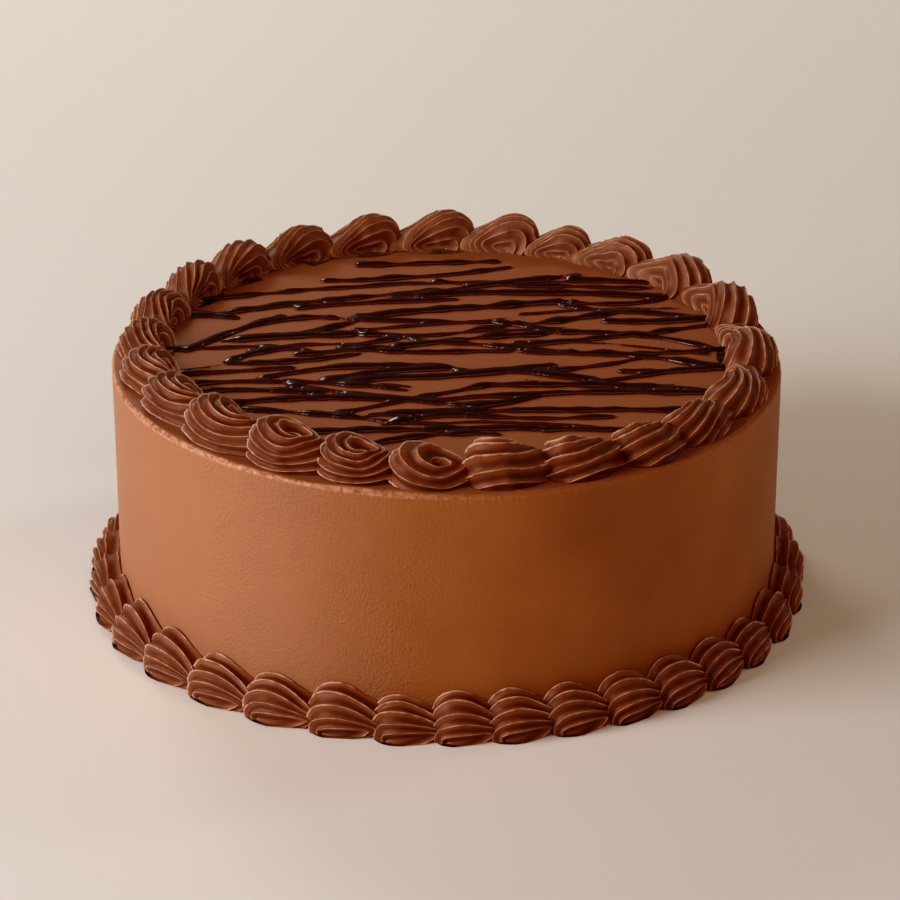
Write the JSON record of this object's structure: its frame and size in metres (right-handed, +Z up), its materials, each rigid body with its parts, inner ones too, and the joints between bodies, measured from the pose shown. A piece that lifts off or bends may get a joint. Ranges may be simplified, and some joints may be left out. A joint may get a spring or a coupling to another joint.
{
  "type": "chocolate cake",
  "caption": "Round chocolate buttercream cake with smooth sides, piped shell borders round top and foot, and a thin dark drizzle across the top.",
  "frame": {"origin": "centre of the flat underside of the cake, on the surface it stands on", "axes": "+Z up along the cake's axis, -Y towards the front as pictured, +X to the right"},
  "size_m": [0.2228, 0.2226, 0.0872],
  "materials": {
    "smooth_icing": "smoothed chocolate buttercream, satin, finely pitted",
    "piped_icing": "piped chocolate buttercream, satin, ridged by a star tube",
    "drizzle": "set dark chocolate, glossy"
  },
  "bodies": {
    "root": {"cake_body": "smooth_icing", "top_shell_01": "piped_icing", "top_shell_02": "piped_icing", "top_shell_03": "piped_icing", "top_shell_04": "piped_icing", "top_shell_05": "piped_icing", "top_shell_06": "piped_icing", "top_shell_07": "piped_icing", "top_shell_08": "piped_icing", "top_shell_09": "piped_icing", "top_shell_10": "piped_icing", "top_shell_11": "piped_icing", "top_shell_12": "piped_icing", "top_shell_13": "piped_icing", "top_shell_14": "piped_icing", "top_shell_15": "piped_icing", "top_shell_16": "piped_icing", "top_shell_17": "piped_icing", "top_shell_18": "piped_icing", "top_shell_19": "piped_icing", "top_shell_20": "piped_icing", "top_shell_21": "piped_icing", "top_shell_22": "piped_icing", "top_shell_23": "piped_icing", "top_shell_24": "piped_icing", "foot_shell_01": "piped_icing", "foot_shell_02": "piped_icing", "foot_shell_03": "piped_icing", "foot_shell_04": "piped_icing", "foot_shell_05": "piped_icing", "foot_shell_06": "piped_icing", "foot_shell_07": "piped_icing", "foot_shell_08": "piped_icing", "foot_shell_09": "piped_icing", "foot_shell_10": "piped_icing", "foot_shell_11": "piped_icing", "foot_shell_12": "piped_icing", "foot_shell_13": "piped_icing", "foot_shell_14": "piped_icing", "foot_shell_15": "piped_icing", "foot_shell_16": "piped_icing", "foot_shell_17": "piped_icing", "foot_shell_18": "piped_icing", "foot_shell_19": "piped_icing", "foot_shell_20": "piped_icing", "foot_shell_21": "piped_icing", "foot_shell_22": "piped_icing", "foot_shell_23": "piped_icing", "foot_shell_24": "piped_icing", "foot_shell_25": "piped_icing", "foot_shell_26": "piped_icing", "foot_shell_27": "piped_icing", "foot_shell_28": "piped_icing", "foot_shell_29": "piped_icing", "foot_shell_30": "piped_icing", "foot_shell_31": "piped_icing", "foot_shell_32": "piped_icing", "foot_shell_33": "piped_icing", "foot_shell_34": "piped_icing", "foot_shell_35": "piped_icing"}
  },
  "joints": []
}
